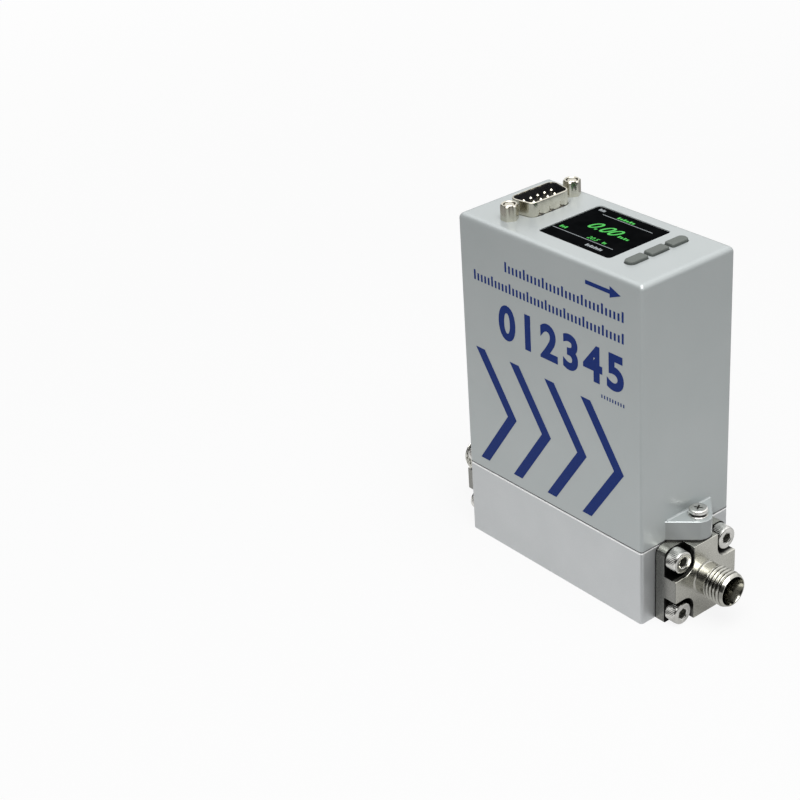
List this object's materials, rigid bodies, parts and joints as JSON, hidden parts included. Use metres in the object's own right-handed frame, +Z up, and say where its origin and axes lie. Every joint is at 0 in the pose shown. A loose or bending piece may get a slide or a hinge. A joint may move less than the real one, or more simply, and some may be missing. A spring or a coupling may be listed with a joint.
{
  "type": "gas flow meter",
  "caption": "Upright inline gas meter on a machined base with threaded tube fittings at both ends, a display and pressable keys on top, and a plug connector.",
  "frame": {"origin": "centre of the object's footprint, on the bottom face of the base", "axes": "+X along the gas flow from inlet to outlet, -Y the printed front, +Z up through the display deck"},
  "size_m": [0.1128, 0.0367, 0.1148],
  "materials": {
    "machined_aluminium": "satin",
    "machined_steel": "satin",
    "bright_steel": "bright",
    "seal_rubber": "matte",
    "grey_paint": "satin",
    "sheet_steel": "satin",
    "winding_copper": "satin",
    "board_laminate": "matte",
    "black_plastic": "matte",
    "display_black": "gloss",
    "window_clear": "gloss",
    "nickel_plate": "bright",
    "pin_metal": "bright",
    "key_rubber": "matte",
    "blue_print": "satin"
  },
  "bodies": {
    "meter": {"base_block": "machined_aluminium", "inlet_flange": "machined_steel", "outlet_flange": "machined_steel", "inlet_flange_screws": "bright_steel", "outlet_flange_screws": "bright_steel", "inlet_flange_seal": "seal_rubber", "outlet_flange_seal": "seal_rubber", "inlet_screen": "bright_steel", "outlet_screen": "bright_steel", "flow_restrictor": "bright_steel", "restrictor_ring": "bright_steel", "lug_screws": "bright_steel", "lug_washers": "bright_steel", "lug_lock_washers": "bright_steel", "housing": "grey_paint", "housing_seal": "seal_rubber", "sensor_block": "machined_steel", "sensor_seals": "seal_rubber", "sensor_screws": "bright_steel", "sensor_tube": "bright_steel", "sensor_windings": "winding_copper", "sensor_cover": "bright_steel", "sensor_header": "black_plastic", "board_bracket": "sheet_steel", "bracket_screws": "bright_steel", "main_board": "board_laminate", "board_spacers": "bright_steel", "board_screws": "bright_steel", "board_chips": "black_plastic", "board_header": "black_plastic", "deck_board": "board_laminate", "deck_board_screws": "bright_steel", "display_backlight": "black_plastic", "display_glass": "display_black", "display_window": "window_clear", "connector_shell": "nickel_plate", "connector_insulator": "black_plastic", "connector_pins": "pin_metal", "jackscrews": "bright_steel", "jackscrew_nuts": "bright_steel", "switch_bodies": "black_plastic", "chevron_print": "blue_print"},
    "key_front_body": {"key_front": "key_rubber", "plunger_front": "black_plastic"},
    "key_middle_body": {"key_middle": "key_rubber", "plunger_middle": "black_plastic"},
    "key_back_body": {"key_back": "key_rubber", "plunger_back": "black_plastic"}
  },
  "joints": [
    {"name": "key_front_press", "type": "slide", "parent": "meter", "child": "key_front_body", "axis": [0, 0, -1], "range_m": [0, 0.0005], "stiffness_N_per_m": 1500, "springref_m": -0.0002},
    {"name": "key_middle_press", "type": "slide", "parent": "meter", "child": "key_middle_body", "axis": [0, 0, -1], "range_m": [0, 0.0005], "stiffness_N_per_m": 1500, "springref_m": -0.0002},
    {"name": "key_back_press", "type": "slide", "parent": "meter", "child": "key_back_body", "axis": [0, 0, -1], "range_m": [0, 0.0005], "stiffness_N_per_m": 1500, "springref_m": -0.0002}
  ]
}
